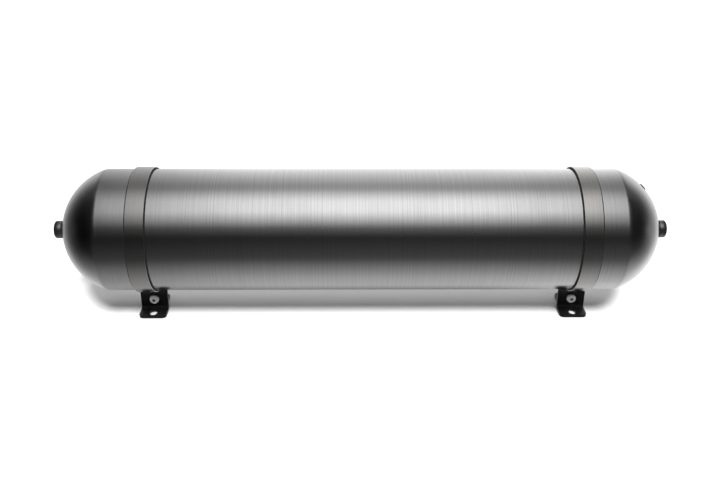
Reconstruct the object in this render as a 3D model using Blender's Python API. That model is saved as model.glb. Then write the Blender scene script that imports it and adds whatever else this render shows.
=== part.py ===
"""Air receiver tank: a spun aluminium shell held by two clamps on four angle feet.

Metres, +Z up. X runs along the tank, the front is -Y, and the origin is on the floor
under the middle of the tank.
"""

import math

import bmesh
import bpy
from mathutils import Vector

# Tank shell
TANK_RADIUS = 0.0762
TANK_LENGTH = 0.7437  # between the two port faces
SHELL_WALL = 0.0046
DOME_WALL = 0.0060
CROWN_EXTRA = 0.0041  # how much the dome's crown radius exceeds the tank radius
KNUCKLE_RADIUS = 0.0150

# End ports and their plugs
PORT_THREAD_RADIUS = 0.00965
PORT_BOSS_WALL = 0.00735
PORT_BOSS_LENGTH = 0.0160
PORT_FACE_MARGIN = 0.0018  # of the port's face round the plug's head
SEAT_WIDTH = 0.0007  # the O-ring seat is this much wider than the port's thread
SEAT_DEPTH = 0.0029
SEAT_CHAMFER = 0.0007
PLUG_HEAD_OVERLAP = 0.00085  # of the plug's head over the rim of the seat
PLUG_COLLAR_HEIGHT = 0.0028
PLUG_GROOVE_DEPTH = 0.0011
PLUG_GROOVE_WIDTH = 0.0009
PLUG_HEAD_HEIGHT = 0.0125
PLUG_CHAMFER = 0.0013
PLUG_THREAD_LENGTH = 0.0120
PLUG_THREAD_CHAMFER = 0.0010
PLUG_SOCKET_WIDTH = 0.0095
PLUG_SOCKET_DEPTH = 0.0060
RING_SECTION = 0.0017

# Gauge port on the right dome
GAUGE_ANGLE = math.radians(44.5)  # from the tank's axis
GAUGE_LEAN = math.radians(3.0)  # from straight up, towards the rear
GAUGE_BORE_RADIUS = 0.00515
GAUGE_FACE_MARGIN = 0.00165
GAUGE_FACE_DEPTH = 0.0006
GAUGE_PLUG_LENGTH = 0.0072
GAUGE_PLUG_PROUD = 0.0016
GAUGE_PLUG_CHAMFER = 0.0006
GAUGE_SOCKET_WIDTH = 0.0048
GAUGE_SOCKET_DEPTH = 0.0035

# Clamp bands and their rubber liners
CLAMP_INSET_LEFT = 0.0469  # from where a dome starts to the middle of its clamp
CLAMP_INSET_RIGHT = 0.0415
BAND_WIDTH = 0.0224
BAND_THICKNESS = 0.0013
BAND_CORNER = 0.0020
LINER_WIDTH = 0.0248
LINER_THICKNESS = 0.0009
LINER_GAP_ANGLE = math.radians(6.0)  # from straight down to each end of the liner
LUG_GAP = 0.0060  # between the two lugs of a band
LUG_BEND_RADIUS = 0.0030  # to the middle of the band's thickness
LUG_BELOW_BOLT = 0.0070

# Feet
FRONT_FOOT_WIDTH = 0.0348
REAR_FOOT_WIDTH = 0.0260
FOOT_THICKNESS = 0.0035
FOOT_BEND_RADIUS = 0.0045  # inside the bend
FOOT_CORNER = 0.0060
FOOT_TOP_CORNER = 0.0015
FOOT_TOP_DROP = 0.0018  # from the start of the lug to the top of the foot
SLOT_WIDTH = 0.0090
SLOT_LENGTH = 0.0140
SLOT_BEND_MARGIN = 0.0004  # from the bend to the slot
SLOT_END_MARGIN = 0.0030  # from the slot to the end of the foot

# Clamp bolts, washers and lock nuts
BOLT_DROP = 0.0162  # from the underside of the band to the bolt's axis
BOLT_HEIGHT = 0.0168  # of the bolt's axis above the floor
BOLT_RADIUS = 0.00285
BOLT_PLAY = 0.00045  # round the bolt, in the holes that it passes through
BOLT_HEAD_SHOULDER = 0.00295
BOLT_HEAD_HEIGHT = 0.0033
BOLT_HEAD_RIM = 0.0009
BOLT_TIP_PROUD = 0.0015
BOLT_TIP_CHAMFER = 0.0006
BOLT_SOCKET_WIDTH = 0.0040
BOLT_SOCKET_DEPTH = 0.0020
WASHER_RIM = 0.0028
WASHER_THICKNESS = 0.0011
NUT_SHOULDER = 0.0003  # of the hexagon's flats round the collar
NUT_HEX_HEIGHT = 0.0044
NUT_COLLAR_WALL = 0.00045
NUT_COLLAR_HEIGHT = 0.0016
NUT_CHAMFER = 0.0009
INSERT_THICKNESS = 0.0012
INSERT_WALL = 0.0008

# Fits
CLEARANCE = 0.0003  # between pieces that touch
WELD = 1e-6
CUT_OVERRUN = 0.0050  # how far a cutter runs past what it cuts

# Roundness
SHELL_SEGMENTS = 56
SMALL_SEGMENTS = 20
RING_SEGMENTS = 6
OUTER_DOME_STEPS = 7
INNER_DOME_STEPS = 4
KNUCKLE_STEPS = 2
BEND_STEPS = 5
SMOOTH_ANGLE = math.radians(35.0)

# Worked out from the above
SEAT_RADIUS = PORT_THREAD_RADIUS + SEAT_WIDTH
PLUG_THREAD_RADIUS = PORT_THREAD_RADIUS - CLEARANCE
RING_OUTER = SEAT_RADIUS - CLEARANCE
PLUG_NECK_RADIUS = RING_OUTER - RING_SECTION - CLEARANCE
PLUG_HEAD_RADIUS = SEAT_RADIUS + PLUG_HEAD_OVERLAP
PORT_FACE_RADIUS = PLUG_HEAD_RADIUS + PORT_FACE_MARGIN
PORT_BOSS_RADIUS = PORT_THREAD_RADIUS + PORT_BOSS_WALL
CROWN_RADIUS = TANK_RADIUS + CROWN_EXTRA
CROWN_CENTRE = TANK_LENGTH / 2 - math.sqrt(CROWN_RADIUS**2 - PORT_FACE_RADIUS**2)
KNUCKLE_CENTRE = CROWN_CENTRE + math.sqrt(
    (CROWN_RADIUS - KNUCKLE_RADIUS) ** 2 - (TANK_RADIUS - KNUCKLE_RADIUS) ** 2
)
CLAMP_LEFT_X = CLAMP_INSET_LEFT - KNUCKLE_CENTRE
CLAMP_RIGHT_X = KNUCKLE_CENTRE - CLAMP_INSET_RIGHT
LINER_INNER = TANK_RADIUS + CLEARANCE
BAND_INNER = LINER_INNER + LINER_THICKNESS + CLEARANCE
BAND_OUTER = BAND_INNER + BAND_THICKNESS
AXIS_HEIGHT = BOLT_HEIGHT + BOLT_DROP + BAND_OUTER
BOLT_Z = -(BAND_OUTER + BOLT_DROP)  # from the tank's axis
LUG_OUTER = LUG_GAP / 2 + BAND_THICKNESS
FOOT_INNER = LUG_OUTER + CLEARANCE
FOOT_OUTER = FOOT_INNER + FOOT_THICKNESS
WASHER_INNER = FOOT_OUTER + CLEARANCE
WASHER_OUTER = WASHER_INNER + WASHER_THICKNESS
FASTENER_SEAT = WASHER_OUTER + CLEARANCE
FOOT_REACH = FOOT_OUTER + FOOT_BEND_RADIUS + SLOT_BEND_MARGIN + SLOT_LENGTH + SLOT_END_MARGIN
BOLT_HOLE_RADIUS = BOLT_RADIUS + BOLT_PLAY
BOLT_HEAD_RADIUS = BOLT_RADIUS + BOLT_HEAD_SHOULDER
WASHER_RADIUS = BOLT_HOLE_RADIUS + WASHER_RIM
NUT_HEIGHT = NUT_HEX_HEIGHT + NUT_COLLAR_HEIGHT
NUT_BORE_RADIUS = BOLT_RADIUS + CLEARANCE
INSERT_RECESS_RADIUS = NUT_BORE_RADIUS + INSERT_WALL + CLEARANCE
NUT_COLLAR_RADIUS = INSERT_RECESS_RADIUS + NUT_COLLAR_WALL
NUT_WIDTH = 2 * (NUT_COLLAR_RADIUS + NUT_SHOULDER)
GAUGE_FACE_RADIUS = GAUGE_BORE_RADIUS + GAUGE_FACE_MARGIN
SIDES = (("left", -1), ("right", 1))


def clear_scene():
    for obj in list(bpy.data.objects):
        bpy.data.objects.remove(obj, do_unlink=True)


def make_material(name, colour, metallic, roughness):
    material = bpy.data.materials.new(name)
    material.use_nodes = True
    shader = material.node_tree.nodes["Principled BSDF"]
    shader.inputs["Base Color"].default_value = (*colour, 1.0)
    shader.inputs["Metallic"].default_value = metallic
    shader.inputs["Roughness"].default_value = roughness
    material.diffuse_color = (*colour, 1.0)
    return material


def make_empty(name, location, direction=None):
    """An empty whose +X points along the direction."""
    empty = bpy.data.objects.new(name, None)
    empty.location = location
    if direction is not None:
        empty.rotation_mode = "QUATERNION"
        empty.rotation_quaternion = direction.to_track_quat("X", "Z")
    bpy.context.scene.collection.objects.link(empty)
    return empty


def make_object(mesh, parent, material, turn=0.0):
    """One named piece, turned about Z in its parent's frame."""
    obj = bpy.data.objects.new(mesh.name, mesh)
    obj.parent = parent
    obj.rotation_euler = (0.0, 0.0, turn)
    if material:
        mesh.materials.append(material)
    bpy.context.scene.collection.objects.link(obj)
    return obj


def make_cutter(mesh, parent, turn=0.0):
    cutter = make_object(mesh, parent, None, turn)
    cutter.hide_render = True
    cutter.display_type = "WIRE"
    return cutter


def combine(obj, other, operation="DIFFERENCE"):
    modifier = obj.modifiers.new(other.name, "BOOLEAN")
    modifier.operation = operation
    modifier.solver = "EXACT"
    modifier.object = other


def finish_mesh(bm, name):
    bmesh.ops.recalc_face_normals(bm, faces=bm.faces)
    mesh = bpy.data.meshes.new(name)
    bm.to_mesh(mesh)
    bm.free()
    mesh.shade_smooth()
    mesh.set_sharp_from_angle(angle=SMOOTH_ANGLE)
    return mesh


def arc(centre_a, centre_b, radius, start, end, steps):
    """Points on a circle, from the start angle to the end angle, in radians."""
    angles = [start + (end - start) * step / steps for step in range(steps + 1)]
    return [
        (centre_a + radius * math.cos(angle), centre_b + radius * math.sin(angle))
        for angle in angles
    ]


def turned_mesh(name, profile, segments, closed=False):
    """A profile of (along X, radius) points, turned about X. A closed one makes a ring."""
    bm = bmesh.new()
    points = [bm.verts.new((along, 0.0, radius)) for along, radius in profile]
    pairs = list(zip(points, points[1:]))
    if closed:
        pairs.append((points[-1], points[0]))
    edges = [bm.edges.new(pair) for pair in pairs]
    bmesh.ops.spin(
        bm,
        geom=points + edges,
        cent=(0.0, 0.0, 0.0),
        axis=(1.0, 0.0, 0.0),
        angle=math.tau,
        steps=segments,
        use_merge=True,
    )
    bmesh.ops.remove_doubles(bm, verts=bm.verts, dist=WELD)
    return finish_mesh(bm, name)


def prism_mesh(name, outline, start, end, axis="X"):
    """An outline extruded along X, or along Z with the outline in X and Y."""
    bm = bmesh.new()
    if axis == "X":
        points = [bm.verts.new((start, a, b)) for a, b in outline]
        along = Vector((end - start, 0.0, 0.0))
    else:
        points = [bm.verts.new((a, b, start)) for a, b in outline]
        along = Vector((0.0, 0.0, end - start))
    face = bm.faces.new(points)
    made = bmesh.ops.extrude_face_region(bm, geom=[face])["geom"]
    moved = [item for item in made if isinstance(item, bmesh.types.BMVert)]
    bmesh.ops.translate(bm, verts=moved, vec=along)
    return finish_mesh(bm, name)


def hexagon(width):
    """The corners of a hexagon, given the distance across its flats."""
    corner = width / math.sqrt(3)
    return arc(0.0, 0.0, corner, 0.0, math.tau * 5 / 6, 5)


def offsets(path, distance):
    """The path moved sideways by the distance, to its left."""
    moved = []
    for index, point in enumerate(path):
        before = Vector(point) - Vector(path[max(index - 1, 0)])
        after = Vector(path[min(index + 1, len(path) - 1)]) - Vector(point)
        first = (before if before.length else after).normalized()
        second = (after if after.length else before).normalized()
        along = (first + second).normalized()
        sideways = Vector((-along.y, along.x)) * distance / along.dot(first)
        moved.append(Vector(point) + sideways)
    return moved


def strip_bmesh(path, thickness, width):
    """A flat strip of sheet that follows a path in Y and Z, centred on X = 0."""
    bm = bmesh.new()
    left = [bm.verts.new((-width / 2, *p)) for p in offsets(path, thickness / 2)]
    right = [bm.verts.new((-width / 2, *p)) for p in offsets(path, -thickness / 2)]
    faces = [
        bm.faces.new((left[i], left[i + 1], right[i + 1], right[i]))
        for i in range(len(path) - 1)
    ]
    made = bmesh.ops.extrude_face_region(bm, geom=faces)["geom"]
    moved = [item for item in made if isinstance(item, bmesh.types.BMVert)]
    bmesh.ops.translate(bm, verts=moved, vec=(width, 0.0, 0.0))
    return bm


def round_corners(bm, is_corner, radius):
    """Rounds the edges whose middle passes the test and that cross the sheet."""
    corners = [
        edge
        for edge in bm.edges
        if is_corner((edge.verts[0].co + edge.verts[1].co) / 2)
        and abs(edge.verts[0].co.x - edge.verts[1].co.x) < WELD
    ]
    bmesh.ops.bevel(
        bm, geom=corners, offset=radius, segments=4, profile=0.5, affect="EDGES"
    )


def crown_and_knuckle(crown, knuckle, radius, start_radius, steps):
    """The dome's profile, from near the axis out to the straight part."""
    across = radius - knuckle
    knuckle_x = CROWN_CENTRE + math.sqrt((crown - knuckle) ** 2 - across**2)
    turn = math.atan2(across, knuckle_x - CROWN_CENTRE)
    start = math.asin(start_radius / crown)
    dome = arc(CROWN_CENTRE, 0.0, crown, start, turn, steps)
    rim = arc(knuckle_x, across, knuckle, turn, math.pi / 2, KNUCKLE_STEPS)
    return dome + rim[1:]


def shell_profile():
    """One closed loop: the outer surface, the ports and the inner surface."""
    face = TANK_LENGTH / 2
    outside = crown_and_knuckle(
        CROWN_RADIUS, KNUCKLE_RADIUS, TANK_RADIUS, PORT_FACE_RADIUS, OUTER_DOME_STEPS
    )
    inside = crown_and_knuckle(
        CROWN_RADIUS - DOME_WALL,
        KNUCKLE_RADIUS - SHELL_WALL,
        TANK_RADIUS - SHELL_WALL,
        PORT_BOSS_RADIUS,
        INNER_DOME_STEPS,
    )
    port = [
        (face - PORT_BOSS_LENGTH, PORT_BOSS_RADIUS),
        (face - PORT_BOSS_LENGTH, PORT_THREAD_RADIUS),
        (face - SEAT_DEPTH - SEAT_CHAMFER, PORT_THREAD_RADIUS),
        (face - SEAT_DEPTH, SEAT_RADIUS),
        (face, SEAT_RADIUS),
    ]
    right = inside[::-1] + port + outside
    left = [(-along, radius) for along, radius in right[::-1]]
    return right + left


def gauge_direction():
    across = math.sin(GAUGE_ANGLE)
    return Vector(
        (
            math.cos(GAUGE_ANGLE),
            across * math.sin(GAUGE_LEAN),
            across * math.cos(GAUGE_LEAN),
        )
    )


def make_shell(tank, gauge_port, material):
    shell = make_object(
        turned_mesh("tank_shell", shell_profile(), SHELL_SEGMENTS, closed=True),
        tank,
        material,
    )
    bore = [
        (-DOME_WALL - CUT_OVERRUN, 0.0),
        (-DOME_WALL - CUT_OVERRUN, GAUGE_BORE_RADIUS),
        (-GAUGE_FACE_DEPTH, GAUGE_BORE_RADIUS),
        (-GAUGE_FACE_DEPTH, GAUGE_FACE_RADIUS),
        (CUT_OVERRUN, GAUGE_FACE_RADIUS),
        (CUT_OVERRUN, 0.0),
    ]
    cutter = turned_mesh("gauge_port_cutter", bore, SMALL_SEGMENTS)
    combine(shell, make_cutter(cutter, gauge_port))


def make_end_plug(side, port, metal, rubber):
    """A plug and its O-ring. The port's empty is on the port's face, with +X outwards."""
    seat = CLEARANCE
    head = seat + PLUG_HEAD_HEIGHT
    groove = seat + PLUG_COLLAR_HEIGHT
    groove_radius = PLUG_HEAD_RADIUS - PLUG_GROOVE_DEPTH
    thread = -(2 * CLEARANCE + RING_SECTION)
    tip = thread - PLUG_THREAD_LENGTH
    profile = [
        (head, 0.0),
        (head, PLUG_HEAD_RADIUS - PLUG_CHAMFER),
        (head - PLUG_CHAMFER, PLUG_HEAD_RADIUS),
        (groove + PLUG_GROOVE_WIDTH, PLUG_HEAD_RADIUS),
        (groove + PLUG_GROOVE_WIDTH, groove_radius),
        (groove, groove_radius),
        (groove, PLUG_HEAD_RADIUS),
        (seat, PLUG_HEAD_RADIUS),
        (seat, PLUG_NECK_RADIUS),
        (thread, PLUG_NECK_RADIUS),
        (thread, PLUG_THREAD_RADIUS),
        (tip + PLUG_THREAD_CHAMFER, PLUG_THREAD_RADIUS),
        (tip, PLUG_THREAD_RADIUS - PLUG_THREAD_CHAMFER),
        (tip, 0.0),
    ]
    plug = make_object(
        turned_mesh(f"end_plug_{side}", profile, SMALL_SEGMENTS), port, metal
    )
    socket = prism_mesh(
        f"end_plug_socket_{side}",
        hexagon(PLUG_SOCKET_WIDTH),
        head - PLUG_SOCKET_DEPTH,
        head + CUT_OVERRUN,
    )
    combine(plug, make_cutter(socket, port))
    section = RING_SECTION / 2
    ring = arc(
        -(CLEARANCE / 2 + section),
        RING_OUTER - section,
        section,
        0.0,
        math.tau * (RING_SEGMENTS - 1) / RING_SEGMENTS,
        RING_SEGMENTS - 1,
    )
    make_object(
        turned_mesh(f"end_plug_oring_{side}", ring, SMALL_SEGMENTS, closed=True),
        port,
        rubber,
    )


def make_gauge_plug(gauge_port, metal):
    """The plug of the gauge port. Its empty is on the dome, with +X outwards."""
    top = GAUGE_PLUG_PROUD - GAUGE_FACE_DEPTH
    bottom = top - GAUGE_PLUG_LENGTH
    radius = GAUGE_BORE_RADIUS - CLEARANCE
    profile = [
        (top, 0.0),
        (top, radius - GAUGE_PLUG_CHAMFER),
        (top - GAUGE_PLUG_CHAMFER, radius),
        (bottom + GAUGE_PLUG_CHAMFER, radius),
        (bottom, radius - GAUGE_PLUG_CHAMFER),
        (bottom, 0.0),
    ]
    plug = make_object(
        turned_mesh("gauge_port_plug", profile, SMALL_SEGMENTS), gauge_port, metal
    )
    socket = prism_mesh(
        "gauge_plug_socket",
        hexagon(GAUGE_SOCKET_WIDTH),
        top - GAUGE_SOCKET_DEPTH,
        top + CUT_OVERRUN,
    )
    combine(plug, make_cutter(socket, gauge_port))


def band_path():
    """The middle of the band's thickness: up one lug, round the tank, down the other."""
    radius = BAND_INNER + BAND_THICKNESS / 2
    lug_y = LUG_GAP / 2 + BAND_THICKNESS / 2
    bend_y = lug_y + LUG_BEND_RADIUS
    bend_z = -math.sqrt((radius + LUG_BEND_RADIUS) ** 2 - bend_y**2)
    lug_end = BOLT_Z - LUG_BELOW_BOLT
    towards = math.atan2(-bend_z, -bend_y)
    bend = arc(bend_y, bend_z, LUG_BEND_RADIUS, math.pi, towards, BEND_STEPS)
    start = towards - math.pi
    hoop = arc(0.0, 0.0, radius, start, math.pi - start, SHELL_SEGMENTS)
    half = [(lug_y, lug_end)] + bend
    other = [(-y, z) for y, z in half[::-1]]
    return half + hoop[1:-1] + other


def bolt_hole_cutter(name, clamp, reach):
    profile = [
        (-reach, 0.0),
        (-reach, BOLT_HOLE_RADIUS),
        (reach, BOLT_HOLE_RADIUS),
        (reach, 0.0),
    ]
    cutter = make_cutter(turned_mesh(name, profile, SMALL_SEGMENTS), clamp, math.pi / 2)
    cutter.location = (0.0, 0.0, BOLT_Z)
    return cutter


def make_band(side, clamp, hole, metal, rubber):
    bm = strip_bmesh(band_path(), BAND_THICKNESS, BAND_WIDTH)
    lug_end = BOLT_Z - LUG_BELOW_BOLT
    round_corners(bm, lambda middle: middle.z < lug_end + WELD, BAND_CORNER)
    band = make_object(finish_mesh(bm, f"clamp_band_{side}"), clamp, metal)
    combine(band, hole)
    radius = LINER_INNER + LINER_THICKNESS / 2
    start = LINER_GAP_ANGLE - math.pi / 2
    path = arc(0.0, 0.0, radius, start, math.pi - start, SHELL_SEGMENTS)
    liner = strip_bmesh(path, LINER_THICKNESS, LINER_WIDTH)
    make_object(finish_mesh(liner, f"clamp_liner_{side}"), clamp, rubber)


def foot_path():
    """The middle of the foot's thickness: down the tab, round the bend, out to the end."""
    middle = FOOT_THICKNESS / 2
    bend = FOOT_BEND_RADIUS + middle
    tab_y = FOOT_INNER + middle
    lug_y = LUG_GAP / 2 + BAND_THICKNESS / 2 + LUG_BEND_RADIUS
    hoop = BAND_INNER + BAND_THICKNESS / 2 + LUG_BEND_RADIUS
    top = -math.sqrt(hoop**2 - lug_y**2) - FOOT_TOP_DROP
    floor = middle - AXIS_HEIGHT
    corner = arc(tab_y + bend, floor + bend, bend, math.pi, math.pi * 1.5, BEND_STEPS)
    return [(tab_y, top)] + corner + [(FOOT_REACH, floor)]


def slot_outline():
    """A slot with round ends, along Y."""
    radius = SLOT_WIDTH / 2
    outer = FOOT_REACH - SLOT_END_MARGIN - radius
    inner = outer - SLOT_LENGTH + SLOT_WIDTH
    steps = SMALL_SEGMENTS // 2
    far = arc(0.0, outer, radius, 0.0, math.pi, steps)
    near = arc(0.0, inner, radius, math.pi, math.tau, steps)
    return far + near


def make_foot(name, width, clamp, hole, turn, material):
    """A foot that reaches towards +Y before it is turned."""
    path = foot_path()
    top = path[0][1]
    bm = strip_bmesh(path, FOOT_THICKNESS, width)
    round_corners(bm, lambda middle: middle.y > FOOT_REACH - WELD, FOOT_CORNER)
    round_corners(bm, lambda middle: middle.z > top - WELD, FOOT_TOP_CORNER)
    foot = make_object(finish_mesh(bm, name), clamp, material, turn)
    slot = prism_mesh(
        f"{name}_slot",
        slot_outline(),
        -AXIS_HEIGHT - CUT_OVERRUN,
        FOOT_THICKNESS - AXIS_HEIGHT + CUT_OVERRUN,
        axis="Z",
    )
    combine(foot, make_cutter(slot, clamp, turn))
    combine(foot, hole)


def make_bolt(side, clamp, metal):
    """A button-head bolt along Y, with its head at the front."""
    seat = -FASTENER_SEAT
    tip = FASTENER_SEAT + NUT_HEIGHT + BOLT_TIP_PROUD
    crown = seat - BOLT_HEAD_HEIGHT
    dome = [
        (
            seat - BOLT_HEAD_RIM - (BOLT_HEAD_HEIGHT - BOLT_HEAD_RIM) * math.sin(angle),
            BOLT_HEAD_RADIUS * math.cos(angle),
        )
        for angle in (math.radians(degrees) for degrees in (60, 45, 30, 15, 0))
    ]
    flat = BOLT_HEAD_RADIUS * math.cos(math.radians(75))
    profile = (
        [(crown, 0.0), (crown, flat)]
        + dome
        + [
            (seat, BOLT_HEAD_RADIUS),
            (seat, BOLT_RADIUS),
            (tip - BOLT_TIP_CHAMFER, BOLT_RADIUS),
            (tip, BOLT_RADIUS - BOLT_TIP_CHAMFER),
            (tip, 0.0),
        ]
    )
    quarter = math.pi / 2
    mesh = turned_mesh(f"clamp_bolt_{side}", profile, SMALL_SEGMENTS)
    bolt = make_object(mesh, clamp, metal, quarter)
    bolt.location = (0.0, 0.0, BOLT_Z)
    socket = prism_mesh(
        f"clamp_bolt_socket_{side}",
        hexagon(BOLT_SOCKET_WIDTH),
        crown - CUT_OVERRUN,
        crown + BOLT_SOCKET_DEPTH,
    )
    cutter = make_cutter(socket, clamp, quarter)
    cutter.location = bolt.location
    combine(bolt, cutter)


def ring_profile(start, end, inner, outer):
    return [(start, inner), (start, outer), (end, outer), (end, inner)]


def make_washer(name, clamp, side_y, metal):
    """A flat washer on the bolt, at the front (side_y -1) or at the rear (side_y 1)."""
    ends = sorted((side_y * WASHER_INNER, side_y * WASHER_OUTER))
    profile = ring_profile(*ends, BOLT_HOLE_RADIUS, WASHER_RADIUS)
    mesh = turned_mesh(name, profile, SMALL_SEGMENTS, closed=True)
    washer = make_object(mesh, clamp, metal, math.pi / 2)
    washer.location = (0.0, 0.0, BOLT_Z)


def make_lock_nut(side, clamp, metal, nylon):
    """A hexagon nut with a round collar at the rear, which holds a nylon ring."""
    start = FASTENER_SEAT
    hex_end = start + NUT_HEX_HEIGHT
    end = start + NUT_HEIGHT
    blank = NUT_WIDTH / math.sqrt(3) + CLEARANCE
    quarter = math.pi / 2
    recess_start = end - INSERT_THICKNESS - CLEARANCE
    body = [
        (start, 0.0),
        (start, blank - NUT_CHAMFER),
        (start + NUT_CHAMFER, blank),
        (hex_end - NUT_CHAMFER, blank),
        (hex_end, blank - NUT_CHAMFER),
        (hex_end, NUT_COLLAR_RADIUS),
        (end - NUT_CHAMFER, NUT_COLLAR_RADIUS),
        (end, NUT_COLLAR_RADIUS - NUT_CHAMFER),
        (end, 0.0),
    ]
    hollow = [
        (start - CUT_OVERRUN, 0.0),
        (start - CUT_OVERRUN, NUT_BORE_RADIUS),
        (recess_start, NUT_BORE_RADIUS),
        (recess_start, INSERT_RECESS_RADIUS),
        (end + CUT_OVERRUN, INSERT_RECESS_RADIUS),
        (end + CUT_OVERRUN, 0.0),
    ]
    nut = make_object(
        turned_mesh(f"clamp_nut_{side}", body, SMALL_SEGMENTS), clamp, metal, quarter
    )
    flats = make_cutter(
        prism_mesh(
            f"clamp_nut_flats_{side}",
            hexagon(NUT_WIDTH),
            start - CUT_OVERRUN,
            end + CUT_OVERRUN,
        ),
        clamp,
        quarter,
    )
    bored = make_cutter(
        turned_mesh(f"clamp_nut_bore_{side}", hollow, SMALL_SEGMENTS), clamp, quarter
    )
    combine(nut, flats, "INTERSECT")
    combine(nut, bored)
    ring = ring_profile(
        recess_start + CLEARANCE, end, NUT_BORE_RADIUS, NUT_BORE_RADIUS + INSERT_WALL
    )
    insert = make_object(
        turned_mesh(f"nut_insert_{side}", ring, SMALL_SEGMENTS, closed=True),
        clamp,
        nylon,
        quarter,
    )
    for obj in (nut, flats, bored, insert):
        obj.location = (0.0, 0.0, BOLT_Z)


def make_clamp(side, clamp_x, looks):
    clamp = make_empty(f"clamp_{side}", (clamp_x, 0.0, AXIS_HEIGHT))
    hole = bolt_hole_cutter(f"clamp_hole_{side}", clamp, FOOT_OUTER + CUT_OVERRUN)
    make_band(side, clamp, hole, looks["band"], looks["rubber"])
    make_foot(f"foot_front_{side}", FRONT_FOOT_WIDTH, clamp, hole, math.pi, looks["coated"])
    make_foot(f"foot_rear_{side}", REAR_FOOT_WIDTH, clamp, hole, 0.0, looks["coated"])
    make_bolt(side, clamp, looks["zinc"])
    make_washer(f"bolt_washer_{side}", clamp, -1, looks["zinc"])
    make_washer(f"nut_washer_{side}", clamp, 1, looks["zinc"])
    make_lock_nut(side, clamp, looks["zinc"], looks["nylon"])


def main():
    clear_scene()
    looks = {
        "shell": make_material("spun_aluminium", (0.62, 0.62, 0.61), 1.0, 0.32),
        "plug": make_material("black_anodised", (0.020, 0.020, 0.022), 0.6, 0.35),
        "rubber": make_material("black_rubber", (0.012, 0.012, 0.012), 0.0, 0.60),
        "band": make_material("stainless_band", (0.56, 0.55, 0.52), 1.0, 0.30),
        "coated": make_material("black_powder_coat", (0.010, 0.010, 0.010), 0.0, 0.45),
        "zinc": make_material("zinc_plate", (0.50, 0.50, 0.46), 1.0, 0.35),
        "nylon": make_material("nylon", (0.70, 0.69, 0.64), 0.0, 0.50),
    }
    tank = make_empty("tank", (0.0, 0.0, AXIS_HEIGHT))
    normal = gauge_direction()
    gauge_place = Vector((CROWN_CENTRE, 0.0, AXIS_HEIGHT)) + CROWN_RADIUS * normal
    gauge_port = make_empty("gauge_port", gauge_place, normal)
    make_shell(tank, gauge_port, looks["shell"])
    make_gauge_plug(gauge_port, looks["plug"])
    for side, sign in SIDES:
        place = (sign * TANK_LENGTH / 2, 0.0, AXIS_HEIGHT)
        port = make_empty(f"port_{side}", place, Vector((sign, 0.0, 0.0)))
        make_end_plug(side, port, looks["plug"], looks["rubber"])
    make_clamp("left", CLAMP_LEFT_X, looks)
    make_clamp("right", CLAMP_RIGHT_X, looks)


main()
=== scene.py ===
"""Looks of the air receiver tank: a spun and brushed aluminium shell with black port plugs, held by
two satin steel clamps with rubber liners, on black coated feet with zinc-plated bolts.

Metres, +Z up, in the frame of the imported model. Turned pieces are made along their own X axis.
"""

import math
from collections import namedtuple

import bmesh
import bpy
from mathutils import Matrix, Vector


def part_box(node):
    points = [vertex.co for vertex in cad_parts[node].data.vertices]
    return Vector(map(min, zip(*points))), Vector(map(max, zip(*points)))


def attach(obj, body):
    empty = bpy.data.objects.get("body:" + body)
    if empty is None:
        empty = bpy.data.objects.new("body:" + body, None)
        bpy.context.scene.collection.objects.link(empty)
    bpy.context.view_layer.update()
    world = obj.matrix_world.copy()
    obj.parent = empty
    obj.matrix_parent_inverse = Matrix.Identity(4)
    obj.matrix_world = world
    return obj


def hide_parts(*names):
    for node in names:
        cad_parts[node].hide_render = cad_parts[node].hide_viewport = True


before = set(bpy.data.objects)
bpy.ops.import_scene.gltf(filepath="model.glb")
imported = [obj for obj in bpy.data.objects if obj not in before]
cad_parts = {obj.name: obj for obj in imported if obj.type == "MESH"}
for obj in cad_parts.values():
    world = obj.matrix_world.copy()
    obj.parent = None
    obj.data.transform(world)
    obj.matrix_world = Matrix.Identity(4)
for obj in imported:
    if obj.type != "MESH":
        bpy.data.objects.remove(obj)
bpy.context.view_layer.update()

# Places and overall sizes, from the frame
SHELL_LOW, SHELL_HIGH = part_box("tank_shell")
PORT_FACE = SHELL_HIGH.x
TANK_RADIUS = (SHELL_HIGH.y - SHELL_LOW.y) / 2
AXIS_HEIGHT = (SHELL_HIGH.z + SHELL_LOW.z) / 2
BAND_LOW, BAND_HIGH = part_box("clamp_band_right")
BAND_WIDTH = BAND_HIGH.x - BAND_LOW.x
BAND_OUTER = BAND_HIGH.z - AXIS_HEIGHT
LUG_END = BAND_LOW.z - AXIS_HEIGHT
LINER_LOW, LINER_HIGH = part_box("clamp_liner_right")
LINER_WIDTH = LINER_HIGH.x - LINER_LOW.x
LINER_OUTER = LINER_HIGH.z - AXIS_HEIGHT
FOOT_LOW, FOOT_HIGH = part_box("foot_rear_right")
FOOT_INNER = FOOT_LOW.y
FOOT_REACH = FOOT_HIGH.y
FOOT_TOP = FOOT_HIGH.z - AXIS_HEIGHT
BOLT_LOW, BOLT_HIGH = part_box("clamp_bolt_right")
BOLT_Z = (BOLT_LOW.z + BOLT_HIGH.z) / 2 - AXIS_HEIGHT
BOLT_TOP = BOLT_LOW.y
BOLT_TIP = BOLT_HIGH.y
BOLT_HEAD_RADIUS = (BOLT_HIGH.z - BOLT_LOW.z) / 2
WASHER_LOW, WASHER_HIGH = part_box("nut_washer_right")
WASHER_RADIUS = (WASHER_HIGH.z - WASHER_LOW.z) / 2
NUT_LOW, NUT_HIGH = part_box("clamp_nut_right")
PLUG_LOW, PLUG_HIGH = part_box("end_plug_right")
PLUG_TOP = PLUG_HIGH.x - PORT_FACE
PLUG_TIP = PLUG_LOW.x - PORT_FACE
PLUG_HEAD_RADIUS = (PLUG_HIGH.z - PLUG_LOW.z) / 2
RING_LOW, RING_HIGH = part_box("end_plug_oring_right")
RING_OUTER = (RING_HIGH.z - RING_LOW.z) / 2

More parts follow.
